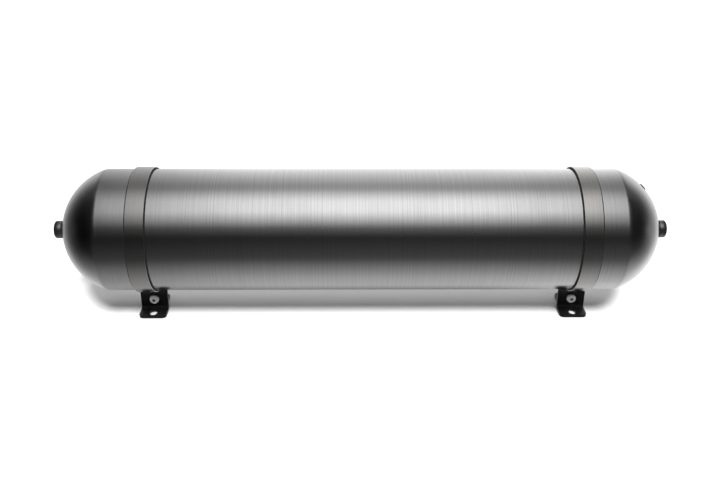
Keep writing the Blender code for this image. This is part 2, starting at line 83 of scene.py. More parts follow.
# Shell
SHELL_WALL = 0.0046
DOME_WALL = 0.0060
CROWN_EXTRA = 0.0041  # how much the dome's crown radius exceeds the tank's radius
KNUCKLE_RADIUS = 0.0150
PORT_FACE_RADIUS = 0.0130
PORT_BOSS_RADIUS = 0.0170
PORT_BOSS_LENGTH = 0.0160
PORT_THREAD_RADIUS = 0.00965
PORT_THREAD_DEPTH = 0.0006
PORT_PITCH = 0.0015875
SEAT_RADIUS = 0.01035
SEAT_DEPTH = 0.0029
SEAT_CHAMFER = 0.0007
FACE_EDGE = 0.0003  # chamfer of a port's mouth

# End plugs and O-rings
PLUG_THREAD_RADIUS = 0.00935
PLUG_THREAD_DEPTH = 0.0008
PLUG_THREAD_CHAMFER = 0.0010
PLUG_SEAT = 0.0003
PLUG_COLLAR_HEIGHT = 0.0028
PLUG_GROOVE_DEPTH = 0.0011
PLUG_GROOVE_WIDTH = 0.0009
PLUG_CHAMFER = 0.0013
PLUG_EDGE = 0.00035
PLUG_SOCKET_WIDTH = 0.0095
PLUG_SOCKET_DEPTH = 0.0060
RING_SECTION = 0.0017  # diameter of an O-ring's rubber

# Gauge port
GAUGE_ANGLE = math.radians(44.5)  # from the tank's axis
GAUGE_LEAN = math.radians(3.0)  # from straight up, towards the rear
GAUGE_BORE_RADIUS = 0.00515
GAUGE_THREAD_DEPTH = 0.0004
GAUGE_PITCH = 0.0014
GAUGE_FACE_RADIUS = 0.0068
GAUGE_FACE_DEPTH = 0.0006
GAUGE_PLUG_RADIUS = 0.00485
GAUGE_PLUG_LENGTH = 0.0072
GAUGE_PLUG_PROUD = 0.0016
GAUGE_PLUG_CHAMFER = 0.0006
GAUGE_SOCKET_WIDTH = 0.0048
GAUGE_SOCKET_DEPTH = 0.0035

# Clamps
BAND_THICKNESS = 0.0013
BAND_CORNER = 0.0020
BAND_EDGE = 0.0004
LUG_GAP = 0.0060
LUG_BEND_RADIUS = 0.0030
LINER_THICKNESS = 0.0009
LINER_LIP_GAP = 0.00025  # between the band's edge and the liner's lip
LINER_LIP_HEIGHT = 0.0003
LINER_GAP_ANGLE = math.radians(6.0)
FOOT_THICKNESS = 0.0035
FOOT_BEND_RADIUS = 0.0045
FOOT_CORNER = 0.0060
FOOT_TOP_CORNER = 0.0015
FOOT_EDGE = 0.0005
SLOT_WIDTH = 0.0090
SLOT_LENGTH = 0.0140
SLOT_END_MARGIN = 0.0030

# Bolts, washers and nuts
BOLT_RADIUS = 0.00285
BOLT_THREAD_DEPTH = 0.00045
BOLT_PITCH = 0.0010
BOLT_HOLE_RADIUS = 0.0033
BOLT_HEAD_HEIGHT = 0.0033
BOLT_HEAD_RIM = 0.0009
BOLT_HEAD_FLAT_DEGREES = 75  # up the head's round side, where its flat top ends
BOLT_HEAD_DOME_DEGREES = range(68, -1, -4)
BOLT_TIP_CHAMFER = 0.0006
BOLT_SOCKET_WIDTH = 0.0040
BOLT_SOCKET_DEPTH = 0.0020
WASHER_EDGE = 0.0002
NUT_WIDTH = 0.0100
NUT_HEX_HEIGHT = 0.0044
NUT_COLLAR_RADIUS = 0.0047
NUT_CHAMFER = 0.0009
NUT_CHAMFER_SLOPE = 0.6  # the hexagon's chamfer, along the nut for each unit across
NUT_ROUND_ALONG = 0.3  # the middle of the collar's rounded edge, in chamfer widths
NUT_ROUND_ACROSS = 0.12
INSERT_THICKNESS = 0.0012
INSERT_WALL = 0.0008
CLEARANCE = 0.0003  # between a thread or a seal and its neighbour

# Mesh detail
SHELL_SEGMENTS = 224
BAND_STEPS = 200
SMALL_SEGMENTS = 64
BEND_STEPS = 10
RING_STEPS = 24  # points round an O-ring's section
THREAD_STEPS = 8  # points along each turn of a thread
THREAD_FLAT = 0.12  # flat part of a thread's root, and of its crest, in pitches
CORNER_STEPS = 8
EDGE_STEPS = 3
EASE = 0.29  # where a rounded corner's middle point lies, as a share of both sides
OVERRUN = 0.0050  # how far a cutter reaches past what it cuts
WELD = 1e-6  # distances shorter than this count as nothing
SMOOTH_ANGLE = math.radians(35.0)
EDGE_ANGLE = math.radians(40.0)  # sharper edges than this are rounded
QUARTER = math.pi / 2

# Camera
CAMERA_PLACE = Vector((-0.0168, -1.0117, 0.5753))
CAMERA_YAW = math.radians(0.841)
CAMERA_PITCH = math.radians(25.31)
CAMERA_ROLL = math.radians(0.281)
CAMERA_LENS = 44.0

# Brushed metal. Its lines are noise, in which a turn round the axis is a small circle
LINE_TURN = 0.45  # radius of that circle, in line widths
FINE_SHARE = 0.4
WIDE_SHARE = 0.6
WIDE_LINES = 0.12  # how many wide lines there are for each fine one
LINE_LOW = 0.35  # noise values where the lines are darkest and lightest
LINE_HIGH = 0.65
LINE_HEIGHT = 0.02  # as a share of the waves' height
WAVE_HEIGHT = 0.0003
WAVES_PER_METRE = 16.0
MARKS_PER_METRE = 22.0
MARK_ROUGHNESS = 0.04

# Other finishes
NOISE_LOW = 0.3  # the values that noise mostly stays between
NOISE_HIGH = 0.7
# Painted shade in the zinc's colour: fully dark at CLOSED occlusion, not darkened from OPEN
CLOSED = 0.45  # ambient occlusion that counts as a recess, and as an open face
OPEN = 0.85
SOCKET_REACH = 0.003  # how far the occlusion looks

# Floor
FLOOR_REACH = 15.0  # from its middle to its sides
FLOOR_DROP = 0.0002  # keeps it just under the feet


# Mesh tools

Thread = namedtuple("Thread", "low high pitch rise radius")


def arc(centre_a, centre_b, radius, start, end, steps):
    """Points on a circle, from the start angle to the end angle, in radians."""
    angles = [start + (end - start) * step / steps for step in range(steps + 1)]
    return [
        (centre_a + radius * math.cos(angle), centre_b + radius * math.sin(angle))
        for angle in angles
    ]


def circle(centre_a, centre_b, radius, count):
    return arc(centre_a, centre_b, radius, 0.0, math.tau * (count - 1) / count, count - 1)


def eased(profile, edges):
    """The profile with some corners cut in three: edges maps a point's index to its rounding."""
    made = []
    for index, point in enumerate(profile):
        size = edges.get(index)
        if not size:
            made.append(point)
            continue
        here = Vector(point)
        back = (Vector(profile[index - 1]) - here).normalized() * size
        ahead = (Vector(profile[(index + 1) % len(profile)]) - here).normalized() * size
        middle = here + (back + ahead) * EASE
        made += [tuple(here + back), tuple(middle), tuple(here + ahead)]
    return made


def finish_mesh(bm, name):
    bmesh.ops.recalc_face_normals(bm, faces=bm.faces)
    mesh = bpy.data.meshes.new(name)
    bm.to_mesh(mesh)
    bm.free()
    mesh.shade_smooth()
    mesh.set_sharp_from_angle(angle=SMOOTH_ANGLE)
    return mesh


def thread_rows(start, end, radius, pitch):
    """Profile points close enough together to carry a thread."""
    count = max(2, round(abs(end - start) / pitch * THREAD_STEPS))
    return [(start + (end - start) * step / count, radius) for step in range(count + 1)]


def thread_rise(along, angle, thread):
    """How far a thread lifts the surface. It fades in and out over one pitch at its ends."""
    pitch = thread.pitch
    fade = min(
        1.0, max(0.0, (along - thread.low) / pitch), max(0.0, (thread.high - along) / pitch)
    )
    turn = (along / pitch - angle / math.tau) % 1.0
    ridge = (abs(2 * turn - 1) - THREAD_FLAT) / (1 - 2 * THREAD_FLAT)
    return thread.rise * fade * min(1.0, max(0.0, ridge))


def turned_mesh(name, profile, segments, closed=False, threads=()):
    """A profile of (along X, radius) points, turned about X. A closed one makes a ring.

    A thread cuts the rows of points that lie between its ends, at its radius.
    """
    bm = bmesh.new()
    rings = []
    for along, radius in profile:
        if radius < WELD:
            rings.append([bm.verts.new((along, 0.0, 0.0))])
            continue
        cut = [t for t in threads if t.low <= along <= t.high and abs(radius - t.radius) < WELD]
        ring = []
        for step in range(segments):
            angle = math.tau * step / segments
            reach = radius + sum(thread_rise(along, angle, t) for t in cut)
            ring.append(
                bm.verts.new((along, reach * math.cos(angle), reach * math.sin(angle)))
            )
        rings.append(ring)
    pairs = list(zip(rings, rings[1:]))
    if closed:
        pairs.append((rings[-1], rings[0]))
    for one, two in pairs:
        for step in range(segments):
            after = (step + 1) % segments
            corners = (
                one[step % len(one)],
                one[after % len(one)],
                two[after % len(two)],
                two[step % len(two)],
            )
            bm.faces.new(dict.fromkeys(corners))
    return finish_mesh(bm, name)


def prism_mesh(name, outline, start, end, axis="X"):
    """An outline extruded along X, or along Z with the outline in X and Y."""
    bm = bmesh.new()
    if axis == "X":
        points = [bm.verts.new((start, a, b)) for a, b in outline]
        along = Vector((end - start, 0.0, 0.0))
    else:
        points = [bm.verts.new((a, b, start)) for a, b in outline]
        along = Vector((0.0, 0.0, end - start))
    face = bm.faces.new(points)
    made = bmesh.ops.extrude_face_region(bm, geom=[face])["geom"]
    moved = [item for item in made if isinstance(item, bmesh.types.BMVert)]
    bmesh.ops.translate(bm, verts=moved, vec=along)
    return finish_mesh(bm, name)


def hexagon(width):
    return circle(0.0, 0.0, width / math.sqrt(3), 6)


def path_frames(path):
    """Each point of a path, with the direction to its left.

    At a bend the direction is longer, so that the sweep keeps its thickness.
    """
    frames = []
    for index, point in enumerate(path):
        before = Vector(point) - Vector(path[max(index - 1, 0)])
        after = Vector(path[min(index + 1, len(path) - 1)]) - Vector(point)
        first = (before if before.length else after).normalized()
        second = (after if after.length else before).normalized()
        along = (first + second).normalized()
        sideways = Vector((-along.y, along.x)) / along.dot(first)
        frames.append((Vector(point), sideways))
    return frames


def swept_bmesh(path, section):
    """A closed section of (along X, sideways) points, swept along a path in Y and Z."""
    bm = bmesh.new()
    rings = [
        [bm.verts.new((x, *(point + sideways * offset))) for x, offset in section]
        for point, sideways in path_frames(path)
    ]
    count = len(section)
    for one, two in zip(rings, rings[1:]):
        for i in range(count):
            j = (i + 1) % count
            bm.faces.new((one[i], one[j], two[j], two[i]))
    bm.faces.new(rings[0])
    bm.faces.new(rings[-1])
    return bm


def flat_section(width, thickness):
    across, through = width / 2, thickness / 2
    return [(-across, through), (across, through), (across, -through), (-across, -through)]


def round_corners(bm, is_corner, radius):
    """Rounds the edges that run through the sheet and whose middle passes the test."""
    corners = [
        edge
        for edge in bm.edges
        if is_corner((edge.verts[0].co + edge.verts[1].co) / 2)
        and abs(edge.verts[0].co.x - edge.verts[1].co.x) < WELD
    ]
    bmesh.ops.bevel(
        bm, geom=corners, offset=radius, segments=CORNER_STEPS, profile=0.5, affect="EDGES"
    )


def add_object(mesh, place):
    obj = bpy.data.objects.new(mesh.name, mesh)
    bpy.context.scene.collection.objects.link(obj)
    obj.matrix_world = place
    return obj


def apply_modifiers(obj):
    bpy.context.view_layer.update()
    graph = bpy.context.evaluated_depsgraph_get()
    mesh = bpy.data.meshes.new_from_object(obj.evaluated_get(graph))
    plain = obj.data
    obj.modifiers.clear()
    obj.data = mesh
    bpy.data.meshes.remove(plain)


def carve(obj, cutter_mesh, place, operation="DIFFERENCE"):
    """Cuts the object with a shape that is then removed."""
    cutter = add_object(cutter_mesh, place)
    modifier = obj.modifiers.new("carve", "BOOLEAN")
    modifier.operation = operation
    modifier.solver = "EXACT"
    modifier.object = cutter
    apply_modifiers(obj)
    bpy.data.objects.remove(cutter)
    obj.data.shade_smooth()
    obj.data.set_sharp_from_angle(angle=SMOOTH_ANGLE)


def soften(obj, width):
    """Rounds every sharp edge."""
    modifier = obj.modifiers.new("soften", "BEVEL")
    modifier.width = width
    modifier.segments = EDGE_STEPS
    modifier.limit_method = "ANGLE"
    modifier.angle_limit = EDGE_ANGLE
    modifier.harden_normals = True
    apply_modifiers(obj)


def take_over(obj, node, body, material):
    """The piece stands for a CAD node, rides on its body and takes its finish."""
    obj.name = f"{node}_detail"
    obj.data.name = obj.name
    obj.data.materials.clear()
    obj.data.materials.append(material)
    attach(obj, body)
    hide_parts(node)


# Material tools


class Shader:
    """A Principled material and the node tree that feeds it."""

    def __init__(self, name, settings):
        self.material = bpy.data.materials.new(name)
        self.material.use_nodes = True
        self.tree = self.material.node_tree
        self.surface = self.tree.nodes["Principled BSDF"]
        for socket, value in settings.items():
            self.surface.inputs[socket].default_value = value
        self.place = self.tree.nodes.new("ShaderNodeTexCoord").outputs["Object"]

    def link(self, source, node, socket):
        """Feeds a node's socket from another socket, or sets it to a constant."""
        if isinstance(source, bpy.types.NodeSocket):
            self.tree.links.new(source, node.inputs[socket])
        else:
            node.inputs[socket].default_value = source

    def math(self, operation, *values):
        node = self.tree.nodes.new("ShaderNodeMath")
        node.operation = operation
        for index, value in enumerate(values):
            self.link(value, node, index)
        return node.outputs[0]

    def noise(self, vector, scale, detail=2.0, roughness=0.5):
        node = self.tree.nodes.new("ShaderNodeTexNoise")
        self.link(vector, node, "Vector")
        node.inputs["Scale"].default_value = scale
        node.inputs["Detail"].default_value = detail
        node.inputs["Roughness"].default_value = roughness
        return node.outputs["Fac"]

    def spread(self, value, low, high, to_low, to_high):
        """A value moved from one range to another, and kept inside it."""
        node = self.tree.nodes.new("ShaderNodeMapRange")
        for index, number in enumerate((value, low, high, to_low, to_high)):
            self.link(number, node, index)
        return node.outputs[0]

    def varied(self, noise, low, high):
        """Noise, moved from the values it mostly has to other ones."""
        return self.spread(noise, NOISE_LOW, NOISE_HIGH, low, high)

    def colours(self, factor, one, two):
        node = self.tree.nodes.new("ShaderNodeMix")
        node.data_type = "RGBA"
        self.link(factor, node, "Factor")
        # Inputs 6 and 7 and output 2 are the node's colours
        node.inputs[6].default_value = (*one, 1.0)
        node.inputs[7].default_value = (*two, 1.0)
        return node.outputs[2]

    def drawn_out(self, radial=1.0, arc_length=1.0):
        """Coordinates in which noise becomes lines round the X axis.

        With radial at 1 they also run round a face that turns in towards the axis.
        """
        split = self.tree.nodes.new("ShaderNodeSeparateXYZ")
        self.link(self.place, split, 0)
        x, y, z = split.outputs
        distance = self.math(
            "SQRT", self.math("ADD", self.math("MULTIPLY", y, y), self.math("MULTIPLY", z, z))
        )
        outward = self.math("ABSOLUTE", x) if radial else x
        across = self.math("SUBTRACT", outward, self.math("MULTIPLY", distance, radial))
        joined = self.tree.nodes.new("ShaderNodeCombineXYZ")
        self.link(across, joined, 0)
        for index, part in ((1, y), (2, z)):
            turn = self.math("DIVIDE", part, self.math("MAXIMUM", distance, 0.0005))
            self.link(self.math("MULTIPLY", turn, arc_length), joined, index)
        return joined.outputs[0]

    def bump(self, height, strength, distance):
        node = self.tree.nodes.new("ShaderNodeBump")
        node.inputs["Strength"].default_value = strength
        node.inputs["Distance"].default_value = distance
        self.link(height, node, "Height")
        self.link(node.outputs[0], self.surface, "Normal")

    def brushed_round(self, anisotropic):
        """Highlights drawn out along X, as round-the-axis brushing makes them."""
        node = self.tree.nodes.new("ShaderNodeTangent")
        node.direction_type = "RADIAL"
        node.axis = "X"
        self.surface.inputs["Anisotropic"].default_value = anisotropic
        self.surface.inputs["Anisotropic Rotation"].default_value = 0.25
        self.link(node.outputs[0], self.surface, "Tangent")

    def edge_wear(self, low, high):
        node = self.tree.nodes.new("ShaderNodeNewGeometry")
        return self.spread(node.outputs["Pointiness"], low, high, 0.0, 1.0)

    def painted_shade_factor(self, distance):
        """Painted shade from ambient occlusion: from 0 in a recess to 1 on an open face."""
        node = self.tree.nodes.new("ShaderNodeAmbientOcclusion")
        node.inputs["Distance"].default_value = distance
        return self.spread(node.outputs["AO"], CLOSED, OPEN, 0.0, 1.0)

    def feed(self, **sources):
        """Links sources to the surface, by socket names such as base_color."""
        for socket, source in sources.items():
            self.link(source, self.surface, socket.replace("_", " ").title())


def brushed_metal(name, light, dark, rough, anisotropic, radial, line_width, grain):
    """Metal with fine lines round the X axis, wider ones, low waves and faint handling marks."""
    shader = Shader(name, {"Metallic": 1.0})
    lines = shader.drawn_out(radial=radial, arc_length=line_width * LINE_TURN)
    fine = shader.noise(lines, scale=1.0 / line_width, detail=3.0, roughness=0.7)
    wide = shader.noise(lines, scale=WIDE_LINES / line_width, detail=2.0)
    both = shader.math(
        "ADD",
        shader.math("MULTIPLY", fine, FINE_SHARE),
        shader.math("MULTIPLY", wide, WIDE_SHARE),
    )
    streaks = shader.spread(both, LINE_LOW, LINE_HIGH, 0.0, 1.0)
    roughened = shader.spread(both, LINE_LOW, LINE_HIGH, rough + grain, rough - grain)
    marks = shader.noise(shader.place, scale=MARKS_PER_METRE, detail=4.0, roughness=0.6)
    smudged = shader.spread(marks, 0.45, 0.75, 0.0, MARK_ROUGHNESS)
    shader.feed(
        base_color=shader.colours(streaks, dark, light),
        roughness=shader.math("ADD", roughened, smudged),
    )
    waves = shader.noise(shader.place, scale=WAVES_PER_METRE, detail=1.0)
    height = shader.math("ADD", shader.math("MULTIPLY", both, LINE_HEIGHT), waves)
    shader.bump(height, strength=1.0, distance=WAVE_HEIGHT)
    shader.brushed_round(anisotropic)
    return shader.material


def black_anodised():
    shader = Shader("black_anodised", {"IOR": 2.4, "Coat Weight": 0.8, "Coat Roughness": 0.08})
    rings = shader.noise(shader.drawn_out(arc_length=0.0002), scale=5200.0)
    wear = shader.edge_wear(low=0.53, high=0.62)
    shader.feed(
        base_color=shader.colours(wear, (0.010, 0.010, 0.012), (0.050, 0.050, 0.054)),
        roughness=shader.varied(rings, 0.14, 0.26),
    )
    shader.bump(rings, strength=0.2, distance=0.00003)
    return shader.material


def black_rubber():
    shader = Shader("black_rubber", {"Metallic": 0.0})
    grain = shader.noise(shader.place, scale=1800.0, detail=3.0)
    dust = shader.noise(shader.place, scale=90.0, detail=4.0)
    shader.feed(
        base_color=shader.colours(dust, (0.008, 0.008, 0.008), (0.020, 0.020, 0.019)),
        roughness=shader.varied(dust, 0.55, 0.75),
    )
    shader.bump(grain, strength=0.4, distance=0.00008)
    return shader.material


def powder_coat():
    shader = Shader("black_powder_coat", {"Metallic": 0.0})
    peel = shader.noise(shader.place, scale=900.0)
    dust = shader.noise(shader.place, scale=60.0, detail=4.0)
    patches = shader.spread(dust, 0.4, 0.7, 0.0, 0.6)
    wear = shader.math("MULTIPLY", shader.edge_wear(low=0.55, high=0.72), patches)
    shader.feed(
        base_color=shader.colours(wear, (0.007, 0.007, 0.0075), (0.075, 0.075, 0.074)),
        roughness=shader.varied(dust, 0.30, 0.46),
    )
    shader.bump(peel, strength=0.35, distance=0.00012)
    return shader.material


def zinc_plate():
    """Pale plate with a faint bloom, and painted shade that darkens its colour in the bolts'
    sockets and other recesses.
    """
    shader = Shader("zinc_plate", {"Metallic": 0.4})
    bloom = shader.noise(shader.place, scale=260.0, detail=3.0)
    dulled = shader.varied(bloom, 0.86, 1.0)
    # Painted shade: ambient occlusion darkens the colour in the sockets and where parts meet
    bloom_and_painted_shade = shader.math("MULTIPLY", shader.painted_shade_factor(SOCKET_REACH), dulled)
    rings = shader.noise(shader.drawn_out(arc_length=0.0003), scale=4200.0)
    shader.feed(
        base_color=shader.colours(bloom_and_painted_shade, (0.05, 0.05, 0.05), (0.96, 0.97, 0.93)),
        roughness=shader.varied(rings, 0.16, 0.28),
    )
    shader.bump(rings, strength=0.25, distance=0.00003)
    return shader.material


def nylon():
    shader = Shader("natural_nylon", {"Subsurface Weight": 0.1, "Subsurface Scale": 0.001})
    cloud = shader.noise(shader.place, scale=500.0)
    shader.feed(
        base_color=shader.colours(cloud, (0.62, 0.60, 0.54), (0.74, 0.73, 0.68)),
        roughness=shader.varied(cloud, 0.40, 0.55),
    )
    shader.bump(cloud, strength=0.2, distance=0.00005)
    return shader.material


# Shell


CROWN_RADIUS = TANK_RADIUS + CROWN_EXTRA
CROWN_CENTRE = PORT_FACE - math.sqrt(CROWN_RADIUS**2 - PORT_FACE_RADIUS**2)


def crown_and_knuckle(crown, knuckle, radius, start_radius, crown_steps, knuckle_steps):
    """The dome's profile, from near the axis out to the straight part."""
    across = radius - knuckle
    knuckle_x = CROWN_CENTRE + math.sqrt((crown - knuckle) ** 2 - across**2)
    turn = math.atan2(across, knuckle_x - CROWN_CENTRE)
    start = math.asin(start_radius / crown)
    dome = arc(CROWN_CENTRE, 0.0, crown, start, turn, crown_steps)
    rim = arc(knuckle_x, across, knuckle, turn, QUARTER, knuckle_steps)
    return dome + rim[1:]


def shell_profile():
    """One closed loop: the outer surface, the threaded ports and the inner surface."""
    outside = crown_and_knuckle(
        crown=CROWN_RADIUS,
        knuckle=KNUCKLE_RADIUS,
        radius=TANK_RADIUS,
        start_radius=PORT_FACE_RADIUS,
        crown_steps=40,
        knuckle_steps=12,
    )
    inside = crown_and_knuckle(
        crown=CROWN_RADIUS - DOME_WALL,
        knuckle=KNUCKLE_RADIUS - SHELL_WALL,
        radius=TANK_RADIUS - SHELL_WALL,
        start_radius=PORT_BOSS_RADIUS,
        crown_steps=16,
        knuckle_steps=5,
    )
    boss_end = PORT_FACE - PORT_BOSS_LENGTH
    seat = PORT_FACE - SEAT_DEPTH
    threaded = thread_rows(boss_end, seat - SEAT_CHAMFER, PORT_THREAD_RADIUS, PORT_PITCH)
    port = (
        [(boss_end, PORT_BOSS_RADIUS)]
        + threaded
        + [
            (seat, SEAT_RADIUS),
            (PORT_FACE - FACE_EDGE, SEAT_RADIUS),
            (PORT_FACE, SEAT_RADIUS + FACE_EDGE),
            (PORT_FACE, PORT_FACE_RADIUS - FACE_EDGE),
        ]
    )
    right = inside[::-1] + port + outside
    left = [(-along, radius) for along, radius in right[::-1]]
    return right + left


def gauge_place():
    """The gauge port's frame, on the right dome, with +X outwards."""
    across = math.sin(GAUGE_ANGLE)
    outward = Vector(
        (
            math.cos(GAUGE_ANGLE),
            across * math.sin(GAUGE_LEAN),
            across * math.cos(GAUGE_LEAN),
        )
    )
    centre = Vector((CROWN_CENTRE, 0.0, AXIS_HEIGHT)) + CROWN_RADIUS * outward
    return Matrix.Translation(centre) @ outward.to_track_quat("X", "Z").to_matrix().to_4x4()


def make_shell(material):
    low = PORT_FACE - PORT_BOSS_LENGTH
    high = PORT_FACE - SEAT_DEPTH - SEAT_CHAMFER
    threads = [
        Thread(start, end, PORT_PITCH, PORT_THREAD_DEPTH, PORT_THREAD_RADIUS)
        for start, end in ((low, high), (-high, -low))
    ]
    mesh = turned_mesh(
        "shell", shell_profile(), SHELL_SEGMENTS, closed=True, threads=threads
    )
    shell = add_object(mesh, Matrix.Translation((0.0, 0.0, AXIS_HEIGHT)))
    floor = -GAUGE_FACE_DEPTH
    inner = -DOME_WALL - OVERRUN
    chamfer = GAUGE_PLUG_CHAMFER
    bore = (
        [(inner, 0.0)]
        + thread_rows(inner, floor - chamfer, GAUGE_BORE_RADIUS, GAUGE_PITCH)
        + [
            (floor, GAUGE_BORE_RADIUS + chamfer),
            (floor, GAUGE_FACE_RADIUS),
            (OVERRUN, GAUGE_FACE_RADIUS),
            (OVERRUN, 0.0),
        ]
    )
    thread = Thread(
        inner, floor - chamfer, GAUGE_PITCH, GAUGE_THREAD_DEPTH, GAUGE_BORE_RADIUS
    )
    cutter = turned_mesh("gauge_bore", bore, SMALL_SEGMENTS, threads=[thread])
    carve(shell, cutter, gauge_place())
    take_over(shell, "tank_shell", "tank", material)


# Port plugs


def make_end_plug(side, turn, looks):
    """A plug and its O-ring, made facing +X and then turned to face their own way."""
    place = Matrix.Translation(
        (math.copysign(PORT_FACE, math.cos(turn)), 0.0, AXIS_HEIGHT)
    ) @ Matrix.Rotation(turn, 4, "Z")
    groove = PLUG_SEAT + PLUG_COLLAR_HEIGHT
    groove_radius = PLUG_HEAD_RADIUS - PLUG_GROOVE_DEPTH
    neck = RING_OUTER - RING_SECTION - CLEARANCE
    thread_top = -(2 * CLEARANCE + RING_SECTION)
    thread_end = PLUG_TIP + PLUG_THREAD_CHAMFER
    head = eased(
        [
            (PLUG_TOP, 0.0),
            (PLUG_TOP, PLUG_HEAD_RADIUS - PLUG_CHAMFER),
            (PLUG_TOP - PLUG_CHAMFER, PLUG_HEAD_RADIUS),
            (groove + PLUG_GROOVE_WIDTH, PLUG_HEAD_RADIUS),
            (groove + PLUG_GROOVE_WIDTH, groove_radius),
            (groove, groove_radius),
            (groove, PLUG_HEAD_RADIUS),
            (PLUG_SEAT, PLUG_HEAD_RADIUS),
            (PLUG_SEAT, neck),
            (thread_top, neck),
        ],
        dict.fromkeys((1, 2, 3, 6, 7), PLUG_EDGE),
    )
    tip = [(PLUG_TIP, PLUG_THREAD_RADIUS - PLUG_THREAD_CHAMFER), (PLUG_TIP, 0.0)]
    rows = thread_rows(thread_top, thread_end, PLUG_THREAD_RADIUS, PORT_PITCH)
    thread = Thread(
        thread_end, thread_top, PORT_PITCH, -PLUG_THREAD_DEPTH, PLUG_THREAD_RADIUS
    )
    mesh = turned_mesh("plug", head + rows + tip, SMALL_SEGMENTS, threads=[thread])
    plug = add_object(mesh, place)
    socket = prism_mesh(
        "socket", hexagon(PLUG_SOCKET_WIDTH), PLUG_TOP - PLUG_SOCKET_DEPTH, PLUG_TOP + OVERRUN
    )
    carve(plug, socket, place)
    take_over(plug, f"end_plug_{side}", f"plug_{side}", looks["plug"])
    section = RING_SECTION / 2
    ring = circle(-(CLEARANCE / 2 + section), RING_OUTER - section, section, RING_STEPS)
    oring = add_object(turned_mesh("ring", ring, SMALL_SEGMENTS, closed=True), place)
    take_over(oring, f"end_plug_oring_{side}", f"seal_{side}", looks["rubber"])


def make_gauge_plug(material):
    top = GAUGE_PLUG_PROUD - GAUGE_FACE_DEPTH
    bottom = top - GAUGE_PLUG_LENGTH
    low = bottom + GAUGE_PLUG_CHAMFER
    high = top - GAUGE_PLUG_CHAMFER - GAUGE_PITCH / 2
    radius = GAUGE_PLUG_RADIUS
    profile = (
        [
            (top, 0.0),
            (top, radius - GAUGE_PLUG_CHAMFER),
            (top - GAUGE_PLUG_CHAMFER, radius),
        ]
        + thread_rows(high, low, radius, GAUGE_PITCH)
        + [(bottom, radius - GAUGE_PLUG_CHAMFER), (bottom, 0.0)]
    )
    thread = Thread(low, high, GAUGE_PITCH, -GAUGE_THREAD_DEPTH, radius)
    place = gauge_place()
    plug = add_object(
        turned_mesh("gauge_plug", profile, SMALL_SEGMENTS, threads=[thread]), place
    )
    socket = prism_mesh(
        "gauge_socket", hexagon(GAUGE_SOCKET_WIDTH), top - GAUGE_SOCKET_DEPTH, top + OVERRUN
    )
    carve(plug, socket, place)
    take_over(plug, "gauge_port_plug", "gauge_plug", material)


# Clamps


def band_path():
    """The middle of the band's thickness: up one lug, round the tank, down the other."""
    radius = BAND_OUTER - BAND_THICKNESS / 2
    lug_y = LUG_GAP / 2 + BAND_THICKNESS / 2
    bend_y = lug_y + LUG_BEND_RADIUS
    bend_z = -math.sqrt((radius + LUG_BEND_RADIUS) ** 2 - bend_y**2)
    towards = math.atan2(-bend_z, -bend_y)
    bend = arc(bend_y, bend_z, LUG_BEND_RADIUS, math.pi, towards, BEND_STEPS)
    start = towards - math.pi
    hoop = arc(0.0, 0.0, radius, start, math.pi - start, BAND_STEPS)
    half = [(lug_y, LUG_END)] + bend
    other = [(-y, z) for y, z in half[::-1]]
    return half + hoop[1:-1] + other


def bolt_hole(reach):
    profile = [(-reach, 0.0), (-reach, BOLT_HOLE_RADIUS), (reach, BOLT_HOLE_RADIUS), (reach, 0.0)]
    return turned_mesh("hole", profile, SMALL_SEGMENTS)


def make_band(side, clamp, across, looks):
    """A band and its liner, whose lips stand out beside the band's edges."""
    bm = swept_bmesh(band_path(), flat_section(BAND_WIDTH, BAND_THICKNESS))
    round_corners(bm, lambda middle: middle.z < LUG_END + WELD, BAND_CORNER)
    band = add_object(finish_mesh(bm, "band"), clamp)
    carve(band, bolt_hole(FOOT_INNER + OVERRUN), across)
    soften(band, BAND_EDGE)
    take_over(band, f"clamp_band_{side}", f"clamp_{side}", looks["band"])
    half = LINER_THICKNESS / 2
    lip = LINER_WIDTH / 2
    step = BAND_WIDTH / 2 + LINER_LIP_GAP
    rise = half + LINER_LIP_HEIGHT
    edge = (lip - step) / 3
    section = [
        (-lip, -half),
        (-lip, -rise + edge),
        (-lip + edge, -rise),
        (-step - edge, -rise),
        (-step, -rise + edge),
        (-step, -half),
    ]
    section += [(-x, offset) for x, offset in section[::-1]]
    section += [(lip, half), (-lip, half)]
    radius = LINER_OUTER - half
    start = LINER_GAP_ANGLE - QUARTER
    path = arc(0.0, 0.0, radius, start, math.pi - start, BAND_STEPS)
    liner = add_object(finish_mesh(swept_bmesh(path, section), "liner"), clamp)
    take_over(liner, f"clamp_liner_{side}", f"clamp_{side}", looks["rubber"])


def foot_path():
    """The middle of the foot's thickness: down the tab, round the bend, out to the end."""
    middle = FOOT_THICKNESS / 2
    bend = FOOT_BEND_RADIUS + middle
    tab_y = FOOT_INNER + middle
    floor = middle - AXIS_HEIGHT
    corner = arc(tab_y + bend, floor + bend, bend, math.pi, math.pi * 1.5, BEND_STEPS)
    return [(tab_y, FOOT_TOP)] + corner + [(FOOT_REACH, floor)]


def slot_outline():
    radius = SLOT_WIDTH / 2
    outer = FOOT_REACH - SLOT_END_MARGIN - radius
    inner = outer - SLOT_LENGTH + SLOT_WIDTH
    steps = SMALL_SEGMENTS // 4
    far = arc(0.0, outer, radius, 0.0, math.pi, steps)
    near = arc(0.0, inner, radius, math.pi, math.tau, steps)
    return far + near


